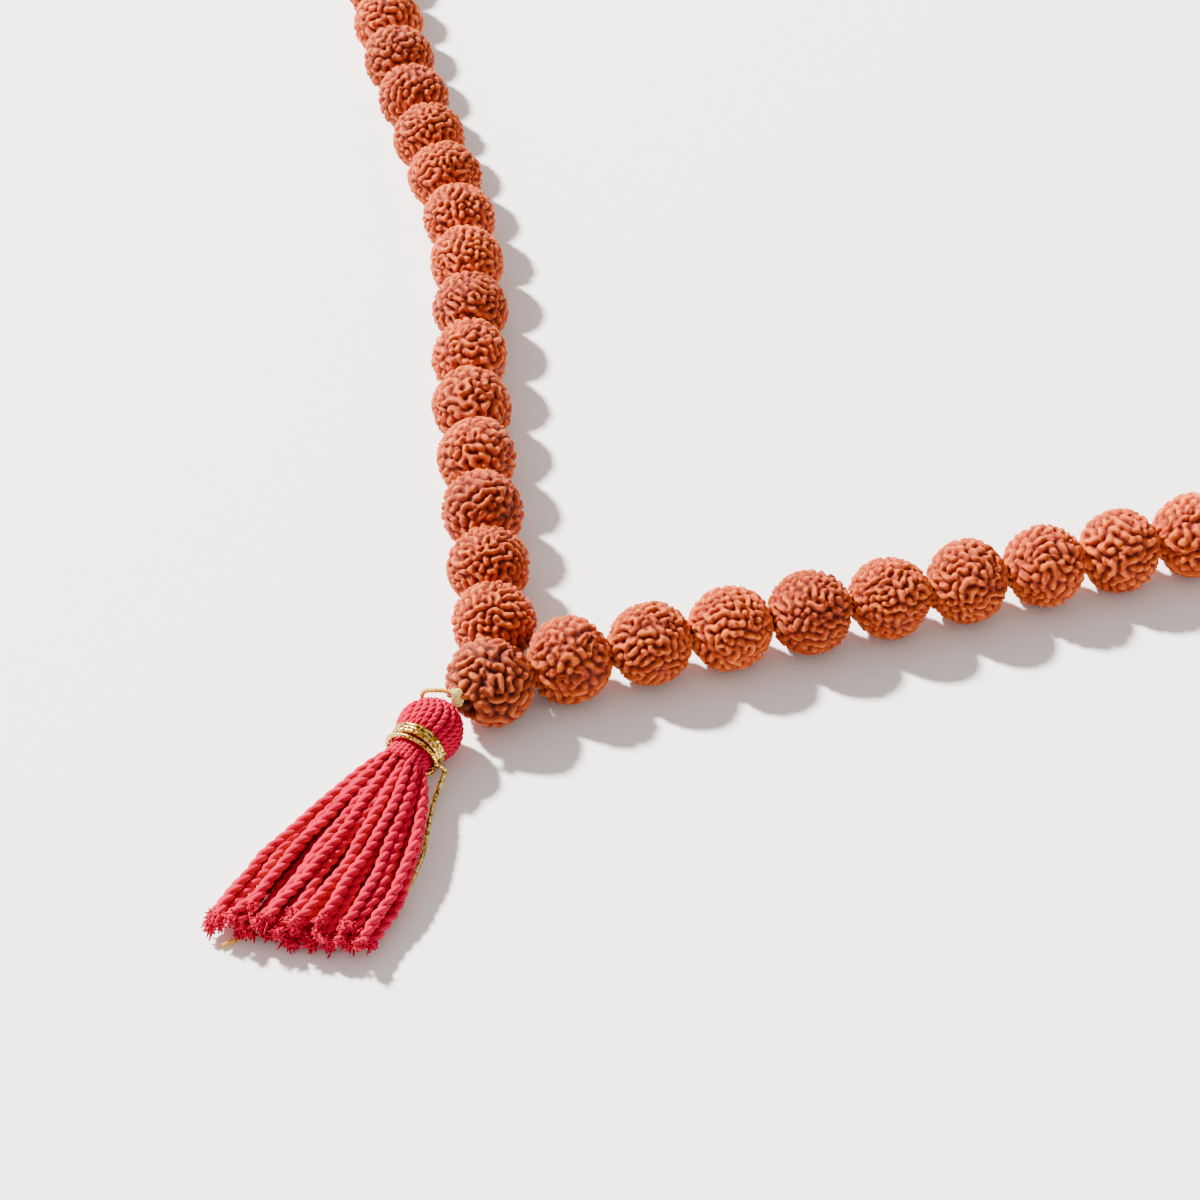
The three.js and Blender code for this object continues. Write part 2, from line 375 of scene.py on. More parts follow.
@dataclass(frozen=True)
class RudrakshaShell:
    """Dried seed shell, brushed clean and lightly oiled: darker in the furrows and the bore's
    mouth, lighter and oranger towards the ridge tops, which are slightly waxy."""

    name: str
    pit: str
    furrow: str
    flank: str
    ridge: str
    # worn is the lightest colour, on the highest ridge tops
    worn: str

    def build(self) -> bpy.types.Material:
        """Builds the material."""
        coat = Coat(self.name)
        height = coat.node("Attribute", {"attribute_name": "ridge"}).outputs["Fac"]
        tone = coat.node("Attribute", {"attribute_name": "tone"}).outputs["Fac"]
        patch = coat.noise(0.55, 2.0).outputs["Fac"]
        grain = coat.noise(7.0, 3.0, Roughness=0.65).outputs["Fac"]
        # Grain and patches shift the shell's colour by a little along each ridge
        shift = coat.node("Math", {"operation": "MULTIPLY_ADD", 1: 0.22, 2: -0.11}, i0=patch)
        lifted = coat.node("Math", {"operation": "ADD"}, i0=height, i1=shift.outputs[0])
        fine = coat.node("Math", {"operation": "MULTIPLY_ADD", 1: 0.30, 2: -0.15}, i0=grain)
        level = coat.node("Math", {"operation": "ADD"}, i0=lifted.outputs[0], i1=fine.outputs[0])
        # Colour follows the relief: pit in the furrow bottoms and the bore's mouth, up through
        # furrow and flank to ridge, and worn on the highest ridge tops
        shell = coat.ramp(
            level.outputs[0],
            (0.05, self.pit), (0.30, self.furrow), (0.55, self.flank),
            (0.82, self.ridge), (1.0, self.worn),
        )
        darker = coat.blend(tone, (0.80, 0.70, 0.66, 1.0), (1.12, 1.08, 1.0, 1.0))
        coat.feed("Base Color", coat.blend(1.0, shell.outputs["Color"], darker, "MULTIPLY"))
        gloss = coat.node("MapRange", {"To Min": 0.78, "To Max": 0.50}, Value=height)
        coat.feed("Roughness", gloss.outputs[0])
        coat.fix(Specular_IOR_Level=0.25)
        coat.bump(grain, 0.16, 1.0)
        return coat.material


@dataclass(frozen=True)
class CottonYarn:
    """Dyed cotton: matt with a soft sheen, lighter where fibres lift."""

    name: str
    shade: str
    body: str
    light: str
    fibre_per_mm: float = 9.0

    def build(self) -> bpy.types.Material:
        """Builds the material."""
        coat = Coat(self.name)
        fibre = coat.noise(self.fibre_per_mm, 3.0, Roughness=0.7).outputs["Fac"]
        patch = coat.noise(0.6, 1.0).outputs["Fac"]
        mixed = coat.node("Math", {"operation": "MULTIPLY_ADD", 1: 0.45}, i0=patch, i2=fibre)
        dye = coat.ramp(
            mixed.outputs[0], (0.42, self.shade), (0.70, self.body), (0.98, self.light)
        )
        coat.feed("Base Color", dye.outputs["Color"])
        coat.fix(
            Roughness=0.85, Sheen_Weight=0.12, Sheen_Roughness=0.4, Specular_IOR_Level=0.08
        )
        coat.surface.inputs["Sheen Tint"].default_value = linear(self.light)
        coat.bump(fibre, 0.05, 0.7)
        return coat.material


@dataclass(frozen=True)
class GiltThread:
    """Zari: a flat metallised strip wound round a thread. Its colour carries painted glints and
    painted dark reflections, scattered by a crinkle noise, and the ochre core shows where it has
    worn away."""

    name: str
    # dark and bright are painted dark reflections and painted glints; foil is the strip's own gold
    dark: str = "#4a2f08"
    foil: str = "#d2a02c"
    bright: str = "#f6e39a"
    core: str = "#d9a441"

    def build(self) -> bpy.types.Material:
        """Builds the material."""
        coat = Coat(self.name)
        crinkle = coat.noise(3.2, 2.0, Roughness=0.6).outputs["Fac"]
        worn = coat.node("Attribute", {"attribute_name": "worn"}).outputs["Fac"]
        # Painted glints and dark reflections: the ramp lays the dark and bright colours over the
        # crinkle noise
        foil = coat.ramp(crinkle, (0.38, self.dark), (0.50, self.foil), (0.64, self.bright))
        colour = coat.blend(worn, foil.outputs["Color"], linear(self.core))
        coat.feed("Base Color", colour)
        metal = coat.node("MapRange", {"To Min": 1.0, "To Max": 0.1}, Value=worn)
        coat.feed("Metallic", metal.outputs[0])
        rough = coat.node("MapRange", {"To Min": 0.22, "To Max": 0.6}, Value=worn)
        coat.feed("Roughness", rough.outputs[0])
        coat.bump(crinkle, 0.10, 0.9)
        return coat.material


# ---------------------------------------------------------------------------
# Strand route
# ---------------------------------------------------------------------------


class Side(Enum):
    """The two strands that leave the guru seed."""

    LEFT = "left"
    RIGHT = "right"


class StrandRoute:
    """The line of the bores, measured from the guru seed along either strand."""

    def __init__(self) -> None:
        """Samples the route and works out the distance between seeds."""
        self.line = catmull_rom(ROUTE, 120)
        steps = np.linalg.norm(np.diff(self.line, axis=0), axis=1)
        self.lengths = np.r_[0, np.cumsum(steps)]
        self.total = float(self.lengths[-1])
        self.pitch = (self.total - 2 * GURU_TO_FIRST - FAR_GAP) / (SEED_COUNT - 2)

    def point(self, along: float) -> Array:
        """Returns the point at a distance from the route's start."""
        return np.array([np.interp(along, self.lengths, self.line[:, k]) for k in (0, 1)])

    def seed(self, side: Side, number: int) -> tuple[Vector, float]:
        """Finds a seed's place.

        Args:
            side: The strand.
            number: The seed's number, from 1 beside the guru seed.

        Returns:
            The middle of its bore in millimetres, and the heading away from the guru seed.
        """
        distance = GURU_TO_FIRST + (number - 1) * self.pitch
        sign = 1 if side is Side.LEFT else -1
        along = distance if side is Side.LEFT else self.total - distance
        middle = self.point(along)
        ahead = self.point(along + 0.5 * sign) - self.point(along - 0.5 * sign)
        return Vector((*middle, SEED_HEIGHT)), math.atan2(ahead[1], ahead[0])


# ---------------------------------------------------------------------------
# Seeds
# ---------------------------------------------------------------------------


@dataclass
class SeedPattern:
    """One wrinkled seed, modelled about its bore (local Z) and copied along the strands.

    Fields:
        radius: Radius over the ridges.
        bore: Radius of the drilled mouth.
        furrow_depth: Depth of the deepest furrows.
        faces: Number of meridian lines from mouth to mouth.
        detail: Subdivisions of the icosphere.
        ridge_width: Width of one ridge and its furrow.
        lumps: Below 0 the ridges break into separate lumps, above 0 they join.
        swell_width, swell_height: Width and height of the broad unevenness.
        seam_width: Half width of the furrow along a meridian line.
        lip_width: Half width of the raised lip round the bore's mouth.
        mouth_depth: How far the bore's mouth sinks in.
        seed: Seed of the random pattern.
    """

    radius: float = 4.2
    bore: float = 0.62
    furrow_depth: float = 0.55
    faces: int = 5
    detail: int = 6
    ridge_width: float = 0.95
    lumps: float = -0.12
    swell_width: float = 0.9
    swell_height: float = 0.2
    seam_width: float = 0.2
    lip_width: float = 0.45
    mouth_depth: float = 1.7
    seed: int = 1

    def neighbours(self, mesh: bpy.types.Mesh) -> Array:
        """Lists the six neighbours of each vertex (a vertex with five repeats itself)."""
        edges = np.empty(len(mesh.edges) * 2, int)
        mesh.edges.foreach_get("vertices", edges)
        edges = edges.reshape(-1, 2)
        both = np.vstack([edges, edges[:, ::-1]])
        both = both[np.argsort(both[:, 0], kind="stable")]
        counts = np.bincount(both[:, 0], minlength=len(mesh.vertices))
        starts = np.r_[0, np.cumsum(counts)[:-1]]
        table = np.repeat(np.arange(len(mesh.vertices))[:, None], 6, axis=1)
        slot = np.arange(len(both)) - starts[both[:, 0]]
        table[both[:, 0], slot] = both[:, 1]
        return table

    @staticmethod
    def smooth(values: Array, table: Array, rounds: float) -> Array:
        """Averages each vertex with its neighbours, for a number of rounds."""
        for _ in range(int(rounds)):
            values = 0.5 * values + 0.5 * values[table].mean(axis=1)
        return values

    def labyrinth(self, table: Array, edge: float, rng: np.random.Generator) -> Array:
        """Grows winding ridges of an even width from random noise.

        Each round keeps only what is about as wide as a ridge and sharpens it.

        Args:
            table: Neighbours of each vertex.
            edge: Length of one edge.
            rng: Source of the starting noise.

        Returns:
            A number from 0 in a furrow to 1 on a ridge, for each vertex.
        """
        spread = self.ridge_width / 6.5 / edge
        fine = max(1, round(spread**2 * 4))
        height = rng.normal(size=len(table))
        for _ in range(GROWTH_ROUNDS):
            near = self.smooth(height, table, fine)
            wide = self.smooth(near, table, 3 * fine)
            height = near - wide
            height = np.tanh(1.6 * height / height.std() + self.lumps)
        height = self.smooth(height, table, fine)
        low, high = np.percentile(height, (2, 98))
        return np.clip((height - low) / (high - low), 0, 1)

    def build(self) -> bpy.types.Mesh:
        """Models the seed and returns its mesh, in millimetres."""
        rng = np.random.default_rng(self.seed)
        deselect()
        bpy.ops.mesh.primitive_ico_sphere_add(subdivisions=self.detail, radius=1.0)
        start = bpy.context.object
        mesh = start.data
        unit = mesh_points(mesh)
        unit /= np.linalg.norm(unit, axis=1, keepdims=True)
        table = self.neighbours(mesh)
        edge = self.radius * float(np.linalg.norm(unit[table[0, 0]] - unit[0]))

        folds = self.labyrinth(table, edge, rng)
        breaks = self.labyrinth(table, edge, rng)
        ridge = (1 - (1 - folds) ** 2.4) * (0.55 + 0.45 * smoothstep(0.08, 0.5, breaks))
        swell = self.smooth(rng.normal(size=len(unit)), table, (self.swell_width / edge) ** 2 * 4)
        swell /= np.abs(swell).max()

        polar = np.arccos(np.clip(np.abs(unit[:, 2]), 0, 1)) * self.radius
        round_bore = np.arctan2(unit[:, 1], unit[:, 0])
        wander = 0.35 * swell + 0.12 * np.sin(3 * unit[:, 2] + self.seed)
        share = 2 * np.pi / self.faces
        off_line = ((round_bore + wander + share / 2) % share) - share / 2
        line_distance = np.abs(off_line) * np.hypot(unit[:, 0], unit[:, 1]) * self.radius
        seam = np.exp(-((line_distance / self.seam_width) ** 2))
        ridge = ridge * (1 - 0.5 * seam)

        mouth = smoothstep(self.bore * 1.45, self.bore * 0.75, polar)
        lip = np.exp(-(((polar - self.bore * 1.9) / self.lip_width) ** 2))
        ridge = np.clip(ridge * (1 - mouth) + 0.35 * lip * (1 - mouth), 0, 1)
        reach = self.radius - self.furrow_depth * (1 - ridge) + self.swell_height * swell
        reach -= self.mouth_depth * mouth
        set_points(mesh, unit * reach[:, None])
        set_attribute(mesh, "ridge", np.clip(ridge - 0.5 * mouth, 0, 1))
        mesh.shade_smooth()
        bpy.data.objects.remove(start)
        return mesh


@dataclass
class Seeds:
    """All the counting seeds and the guru seed.

    Fields:
        near_patterns: How many different seeds are modelled finely, for the two strands by
            the guru seed.
        far_patterns: How many are modelled for the rest of the loop.
        shell, guru_shell: Finishes of the counting seeds and of the guru seed.
    """

    near_patterns: int = 9
    far_patterns: int = 6
    shell: RudrakshaShell = RudrakshaShell(
        "rudraksha_shell", "#541206", "#85280c", "#b2400c", "#c8500f", "#da6c1e"
    )
    guru_shell: RudrakshaShell = RudrakshaShell(
        "rudraksha_guru_shell", "#3e0e05", "#6a2009", "#9c360a", "#b8480e", "#cc6622"
    )

    def __post_init__(self) -> None:
        """Models the patterns that the seeds are copied from."""
        self.rng = np.random.default_rng(108)
        self.route = StrandRoute()
        self.skin = self.shell.build()
        self.guru_skin = self.guru_shell.build()
        self.near = [
            SeedPattern(seed=20 + k, ridge_width=0.66 + 0.05 * (k % 4),
                        lumps=-0.25 + 0.1 * (k % 3)).build()
            for k in range(self.near_patterns)
        ]
        self.far = [
            SeedPattern(seed=60 + k, detail=5, ridge_width=0.8).build()
            for k in range(self.far_patterns)
        ]

    def place(
        self,
        name: str,
        pattern: bpy.types.Mesh,
        at: Vector,
        heading: float,
        size: float,
        skin: bpy.types.Material,
        length: float = 1.0,
    ) -> bpy.types.Object:
        """Copies a pattern to its place on the strand.

        Args:
            name: Name of the new seed.
            pattern: The mesh to copy.
            at: Middle of the bore, in millimetres.
            heading: Direction of the bore, in radians.
            size: Size against the pattern.
            skin: The finish.
            length: Length along the bore against the other seeds.

        Returns:
            The seed, with its place in its mesh.
        """
        mesh = pattern.copy()
        mesh.name = name
        spin = Matrix.Rotation(self.rng.uniform(0, 2 * math.pi), 4, "Z")
        flip = Matrix.Rotation(math.pi * self.rng.integers(2), 4, "X")
        lay = Matrix.Rotation(heading, 4, "Z") @ Matrix.Rotation(math.pi / 2, 4, "Y")
        girth = size * self.rng.uniform(0.985, 1.015)
        shape = Matrix.Diagonal((girth, girth, length * self.rng.uniform(0.975, 0.988), 1))
        mesh.transform(
            Matrix.Scale(MM, 4) @ Matrix.Translation(at) @ lay @ spin @ flip @ shape
        )
        set_attribute(mesh, "tone", np.full(len(mesh.vertices), self.rng.uniform(0.1, 1.0)))
        mesh.materials.append(skin)
        seed = bpy.data.objects.new(name, mesh)
        bpy.context.collection.objects.link(seed)
        return seed

    def single(self, side: Side, number: int) -> None:
        """Makes a seed that turns on its own joint."""
        node = f"bead_{side.value}_{number:02d}"
        at, heading = self.route.seed(side, number)
        pattern = self.near[(number * 4 + (side is Side.RIGHT) * 2) % len(self.near)]
        seed = self.place(
            f"seed_{side.value}_{number:02d}", pattern, at, heading,
            self.rng.uniform(0.985, 1.01), self.skin,
        )
        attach(seed, f"seed_{side.value}_{number:02d}")
        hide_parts(node)

    def run(self, side: Side, part: str, first: int, last: int, runs: int) -> None:
        """Makes the seeds of one part of a strand, which the model joins in runs.

        Args:
            side: The strand.
            part: near or far, from the guru seed.
            first: The first seed's number.
            last: The last seed's number.
            runs: How many joined solids they stand for.
        """
        total = last - first + 1
        for index in range(runs):
            start = first + math.floor(index * total / runs + 0.5)
            end = first + math.floor((index + 1) * total / runs + 0.5)
            for number in range(start, end):
                at, heading = self.route.seed(side, number)
                seed = self.place(
                    f"seed_{side.value}_{number:02d}", self.far[number % len(self.far)],
                    at, heading, self.rng.uniform(0.985, 1.01), self.skin,
                    FOLD_LENGTH if number - PIVOT_SEED[side.value] in (0, 1) else 1.0,
                )
                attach(seed, f"{side.value}_{part}")
                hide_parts(f"run_{side.value}_{part}_{index + 1:02d}")

    def guru(self) -> None:
        """Makes the guru seed: larger, darker and more deeply furrowed."""
        low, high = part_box("guru_bead")
        at = Vector([(a + b) / 2 / MM for a, b in zip(low, high)])
        pattern = SeedPattern(radius=4.3, furrow_depth=0.62, bore=0.85, seed=7,
                              ridge_width=0.8, lumps=-0.05).build()
        seed = self.place("guru_seed", pattern, at, math.radians(GURU_BEARING), 1.0, self.guru_skin)
        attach(seed, "guru")
        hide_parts("guru_bead")

    def build(self) -> None:
        """Makes every seed in order."""
        self.guru()
        for side in Side:
            for number in range(1, SINGLE_SEEDS[side.value] + 1):
                self.single(side, number)
            self.run(side, "near", SINGLE_SEEDS[side.value] + 1, PIVOT_SEED[side.value],
                     NEAR_RUNS[side.value])
            self.run(side, "far", PIVOT_SEED[side.value] + 1, SEED_COUNT // 2,
                     FAR_RUNS[side.value])
        log.info("seeds: %d and the guru seed, pitch %.3f mm", SEED_COUNT, self.route.pitch)


# ---------------------------------------------------------------------------
# Tassel
# ---------------------------------------------------------------------------


@dataclass
class Tassel:
    """The yarn tassel, in its own frame: +X down the skirt, +Z up, origin in the head.

    Fields:
        at: Middle of the head, in millimetres.
        bearing: Direction of the skirt, in degrees.
        eye: Direction in which the hanger thread enters the head, in the mala's frame.
        yarns: Number of yarns in the skirt.
        head_yarns: Number of yarns folded over the head.
        neck, tip: Where the skirt starts to spread and where its middle yarns end.
        half_width: Half the skirt's width at the tips.
        skew: How much shorter the skirt is at its right edge than in its middle.
        ball, core: Radius of the head, and of the core inside its yarns.
        ply, pitch: Radius of one ply, and length of one turn of two plies.
        wrap_radius, zari_radius: Radius of the gilt turns, and of the thread in them.
        band_spacing: Distance from one turn of the band to the next.
        loose_radius: Radius of the loose gilt end.
    """

    at: tuple[float, float, float] = (-5.5, -5.2, 3.2)
    bearing: float = 243.0
    eye: tuple[float, float, float] = (-0.75, 2.75, 0.75)
    yarns: int = 50
    head_yarns: int = 26
    neck: float = 4.9
    tip: float = 25.8
    half_width: float = 7.55
    skew: float = 1.9
    ball: float = 2.84
    core: float = 2.72
    ply: float = 0.33
    pitch: float = 2.4
    wrap_radius: float = 2.52
    zari_radius: float = 0.235
    band_spacing: float = 0.40
    loose_radius: float = 0.225

    def __post_init__(self) -> None:
        """Makes the finishes."""
        self.rng = np.random.default_rng(27)
        self.dyed = CottonYarn("crimson_cotton_yarn", "#86001e", "#b80032", "#cc003c").build()
        self.gilt = GiltThread("gilt_zari_thread").build()
        self.amber = CottonYarn("amber_thread", "#8a5a14", "#c08a28", "#e2b64e").build()
        self.pale = CottonYarn("pale_thread", "#a87c28", "#dcbc62", "#efdf98").build()
        turn = math.radians(self.bearing)
        self.turn = np.array(
            [[math.cos(turn), -math.sin(turn), 0], [math.sin(turn), math.cos(turn), 0], [0, 0, 1]]
        )

    def world(self, points: Array) -> Array:
        """Carries points from the tassel's frame to the mala's, in millimetres."""
        return points @ self.turn.T + np.array(self.at)

    def local(self, direction: Sequence[float]) -> Array:
        """Carries a direction from the mala's frame to the tassel's, at unit length."""
        vector = np.array(direction, float) @ self.turn
        return vector / np.linalg.norm(vector)

    def skirt_line(self, across: float, up: float, wave: Array) -> Array:
        """Lays one yarn from the neck to its tip.

        Args:
            across: Place across the bundle, -1 to 1.
            up: Place up the bundle, -1 to 1.
            wave: Two random phases and a length difference.

        Returns:
            Evenly spaced points in the tassel's frame.
        """
        end = self.tip - self.skew * across + wave[2]
        x = np.linspace(2.6, end, 90)
        spread = np.clip((x - self.neck) / (self.tip - self.neck), 0, 1.15)
        fan = np.sin(np.minimum(spread, 1) * np.pi / 2) ** 0.78
        neck = 1.55 + 0.55 * smoothstep(3.4, 5.5, x)
        width = neck + (self.half_width - neck) * fan
        height = neck - 0.55 * spread
        stray = 0.32 * spread * np.sin(x / 3.1 + wave[0]) + 0.12 * spread * np.sin(x + wave[1])
        y = across * width + stray + 0.5 * np.sin(np.pi * np.minimum(spread, 1)) ** 0.7
        z = -0.1 - 1.05 * spread + up * height + 0.15 * spread * np.sin(x / 2.3 + wave[1])
        z = np.maximum(z, -self.at[2] + np.where(x > 15, 0.98, 0.6))
        return resampled(np.stack([x, y, z], 1), YARN_STEP)

    def skirt(self) -> None:
        """Makes the skirt's yarns and their frayed ends."""
        strands, ends = Strands(sides=6), Strands(sides=4)
        golden = math.pi * (3 - math.sqrt(5))
        for index in range(self.yarns):
            reach = math.sqrt((index + 0.5) / self.yarns)
            across = reach * math.cos(index * golden)
            up = reach * math.sin(index * golden)
            wave = np.array([*self.rng.uniform(0, 2 * np.pi, 2), self.rng.uniform(-0.9, 0.9)])
            line = self.skirt_line(across, up, wave)
            grown = 0.66 + 0.34 * smoothstep(5.0, 9.0, line[:, 0])
            loose = 1 + 0.18 * smoothstep(2.5, 0.0, np.arange(len(line))[::-1] * YARN_STEP)
            self.fuzz(ends, self.world(line))
            plies = strands.add_twisted(
                self.world(line), 2, self.ply * grown, 0.19 * grown * loose,
                self.pitch * self.rng.uniform(0.93, 1.07), self.rng.uniform(0, 6.28),
            )
            for middle in plies:
                self.fray(ends, middle)
        for name, threads in (("skirt_yarns", strands), ("skirt_frayed_ends", ends)):
            self.finish(threads.build(name, self.dyed), "yarn", "tassel_skirt")
        log.info("skirt: %d two-ply yarns", self.yarns)

    def fray(self, ends: Strands, ply: Array) -> None:
        """Splays a ply's fibres beyond its cut end."""
        forward = ply[-1] - ply[-4]
        forward /= np.linalg.norm(forward)
        for _ in range(END_FIBRES):
            splay = self.rng.normal(0, 0.55, 3)
            direction = forward + splay
            length = self.rng.uniform(0.15, 0.42)
            start = ply[-3] + self.rng.normal(0, 0.2, 3)
            steps = np.linspace(0, 1, 4)[:, None]
            curl = self.rng.normal(0, 0.4, 3) * steps**2
            line = start + length * (direction * steps + curl)
            line[:, 2] = np.maximum(line[:, 2], 0.12)
            ends.add(line, np.array(END_FIBRE))

    def fuzz(self, hairs: Strands, yarn: Array, share: float = 0.5) -> None:
        """Lets fine fibres stand off a yarn.

        Args:
            hairs: Where the fibres are collected.
            yarn: The yarn's middle line.
            share: Fibres for each point of the line.
        """
        for _ in range(int(len(yarn) * share)):
            place = self.rng.integers(2, len(yarn) - 2)
            along = yarn[place + 2] - yarn[place - 2]
            out = self.rng.normal(0, 1, 3)
            out -= along * out.dot(along) / along.dot(along)
            out /= np.linalg.norm(out)
            steps = np.linspace(0, 1, 4)[:, None]
            lean = along / np.linalg.norm(along) * self.rng.uniform(-0.6, 0.6)
            line = yarn[place] + out * 0.36 + (0.34 * out + lean) * steps
            line -= 0.3 * out * steps**2
            line[:, 2] = np.maximum(line[:, 2], 0.05)
            hairs.add(line, FUZZ_RADIUS)

    def head(self) -> None:
        """Makes the yarns that fold over the hanger thread, and the core inside them."""
        pole = self.local(self.eye)
        start = np.array([-1.0, 0.0, 0.0])
        axis = np.cross(start, pole)
        lean = math.atan2(np.linalg.norm(axis), start.dot(pole))
        axis /= np.linalg.norm(axis)
        strands = Strands(sides=6)
        for index in range(self.head_yarns):
            around = 2 * math.pi * (index + 0.15 * self.rng.uniform(-1, 1)) / self.head_yarns
            polar = np.radians(np.linspace(9, 141, 60))
            ball = self.ball * np.stack([
                -np.cos(polar),
                np.sin(polar) * math.cos(around),
                np.sin(polar) * math.sin(around),
            ], 1)
            angles = lean * (1 - smoothstep(0, 2.1, polar))
            ball = np.array([
                Matrix.Rotation(a, 3, Vector(axis)) @ Vector(p) for a, p in zip(angles, ball)
            ])
            neck_x = np.linspace(2.35, 5.6, 14)
            neck_r = 1.85 + 0.22 * smoothstep(4.2, 5.6, neck_x)
            neck = np.stack([neck_x, neck_r * math.cos(around), neck_r * math.sin(around)], 1)
            line = resampled(np.vstack([ball, neck]), HEAD_STEP)
            shrink = 0.55 + 0.45 * smoothstep(0.3, 2.4, np.arange(len(line)) * HEAD_STEP)
            shrink = shrink * (1 - 0.3 * smoothstep(1.2, 2.6, line[:, 0]))
            strands.add_twisted(
                self.world(line), 3, 0.21 * shrink, 0.17 * shrink, 1.9,
                self.rng.uniform(0, 6.28),
            )
        self.finish(strands.build("head_yarns", self.dyed), "yarn", "tassel_head")
        deselect()
        bpy.ops.mesh.primitive_uv_sphere_add(segments=36, ring_count=20, radius=self.core * MM)
        core = bpy.context.object
        core.name = "head_core"
        points = mesh_points(core.data) / MM
        ripple = 0.06 * np.sin(11 * np.arctan2(points[:, 1], points[:, 2]))
        points *= 1 + ripple[:, None] / self.core
        set_points(core.data, self.world(points) * MM)
        core.data.shade_smooth()
        core.data.materials.append(self.dyed)
        self.finish(core, "yarn", "tassel_head")
        log.info("head: %d yarns", self.head_yarns)

    def finish(self, piece: bpy.types.Object, slot: str, *nodes: str) -> None:
        """Lets a piece ride with the tassel and stand for CAD nodes."""
        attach(piece, "tassel")
        if nodes:
            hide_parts(*nodes)

    def zari(self, name: str, line: Array, radius: float, worn: Array | None = None,
             sides: int = 12) -> bpy.types.Object:
        """Makes a thread with a flat strip wound round it.

        Args:
            name: Name of the new piece.
            line: Evenly spaced points, in the mala's frame.
            radius: Outer radius.
            worn: Share of the strip that is worn away at each point, or none.
            sides: Points round the thread.

        Returns:
            The thread.
        """
        first, second = sideways(line)
        spacing = float(np.linalg.norm(line[1] - line[0]))
        along = np.arange(len(line)) * spacing
        worn = np.zeros(len(line)) if worn is None else worn
        around = np.linspace(0, 2 * np.pi, sides, endpoint=False)
        lap = (along[:, None] / STRIP_PITCH + around[None, :] / (2 * np.pi)) % 1
        relief = STRIP_RELIEF * np.minimum(lap / 0.75, (1 - lap) / 0.25) * (1 - worn[:, None])
        crinkle = self.rng.normal(0, STRIP_CRINKLE, (len(line), sides)) * (1 - worn[:, None])
        reach = radius * (0.9 + relief + crinkle)
        ring = (
            line[:, None, :]
            + reach[..., None] * (
                np.cos(around)[None, :, None] * first[:, None, :]
                + np.sin(around)[None, :, None] * second[:, None, :]
            )
        )
        rows = [[k * sides + j for j in range(sides)] for k in range(len(line))]
        faces = [
            (a[j], a[(j + 1) % sides], b[(j + 1) % sides], b[j])
            for a, b in zip(rows, rows[1:]) for j in range(sides)
        ]
        faces += [tuple(rows[0][::-1]), tuple(rows[-1])]
        mesh = bpy.data.meshes.new(name)
        mesh.from_pydata((ring.reshape(-1, 3) * MM).tolist(), [], faces)
        mesh.validate()
        set_attribute(mesh, "worn", np.repeat(worn, sides))
        mesh.materials.append(self.gilt)
        thread = bpy.data.objects.new(name, mesh)
        bpy.context.collection.objects.link(thread)
        fix_normals(mesh)
        return thread

    def binding(self) -> None:
        """Winds the gilt band and the separate wrap below it."""
        for name, node, first, turns, lean in (
            ("gilt_band", "binding_band", 1.8, 3, 0.0),
            ("gilt_lower_wrap", "binding_lower_wrap", 3.4, 1, 0.22),
        ):
            angle = np.linspace(0, 2 * np.pi * turns, 260 * turns)
            x = first + self.band_spacing * angle / (2 * np.pi) * (turns > 1)
            x = x - lean * np.sin(angle)
            radius = self.wrap_radius + 0.05 * np.sin(2 * angle + turns)
            line = self.world(
                np.stack([x, radius * np.cos(angle), -radius * np.sin(angle)], 1)
            )
            if turns == 1:
                # The single wrap comes off the neck here and becomes the loose end
                line = np.vstack([line, catmull_rom([line[-1], *TAIL_ROUTE[:2]], 12)[:13]])
            wrap = self.zari(name, resampled(line, ZARI_STEP), self.zari_radius)
            self.finish(wrap, "gilt_thread", node)
        log.info("binding: three turns and one")

    def tail(self) -> None:
        """Lays the loose end of the gilt thread."""
        line = resampled(catmull_rom(TAIL_ROUTE, 30), ZARI_STEP)
        worn = smoothstep(0.28, 0.5, np.linspace(0, 1, len(line)))
        thread = self.zari("gilt_loose_end", line, self.loose_radius, worn, 10)
        self.finish(thread, "gilt_thread", "gilt_tail")

    def hanger(self) -> None:
        """Makes the two knots and the thread that carries the head."""
        for name, node, body in (
            ("guru_thread_knot", "guru_knot", "guru"),
            ("hanger_thread_knot", "hanger_knot", "hanger"),
        ):
            low, high = (np.array(c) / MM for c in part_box(node))
            middle, size = (low + high) / 2, 1.25 * (high - low)[0] / 2
            t = np.linspace(0, 2 * np.pi, 140)
            trefoil = np.stack([
                np.sin(t) + 2 * np.sin(2 * t), np.cos(t) - 2 * np.cos(2 * t), -np.sin(3 * t)
            ], 1)
            tilt = np.array(Matrix.Rotation(0.9, 3, Vector((1, 0.4, 0))))
            line = middle + 0.2 * size * (trefoil * [1, 1, 1.5]) @ tilt.T
            strands = Strands(sides=8)
            strands.add_twisted(resampled(line, 0.05), 2, 0.26 * size, 0.16 * size, 0.9, 0)
            strands.add(np.array([middle - [0, 0, 0.2], middle + [0, 0, 0.2]]), 0.6 * size)
            knot = strands.build(name, self.pale)
            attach(knot, body)
            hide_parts(node)
        strands = Strands(sides=8)
        line = resampled(catmull_rom(HANGER_ROUTE, 12), 0.08)
        strands.add_twisted(line, 2, 0.125, 0.11, 0.9, 0)
        self.finish(strands.build("hanger_twist", self.amber), "gilt_thread", "hanger_thread")

    def build(self) -> None:
        """Makes the whole tassel."""
        self.tail()
        self.head()
        self.skirt()
        self.binding()
        self.hanger()


def fix_normals(mesh: bpy.types.Mesh) -> None:
    """Turns a closed mesh's faces outwards and smooths them."""
    work = bmesh.new()
    work.from_mesh(mesh)
    bmesh.ops.recalc_face_normals(work, faces=work.faces)
    work.to_mesh(mesh)
    work.free()
    mesh.shade_smooth()


# ---------------------------------------------------------------------------
# Cord, stage, light and camera
# ---------------------------------------------------------------------------


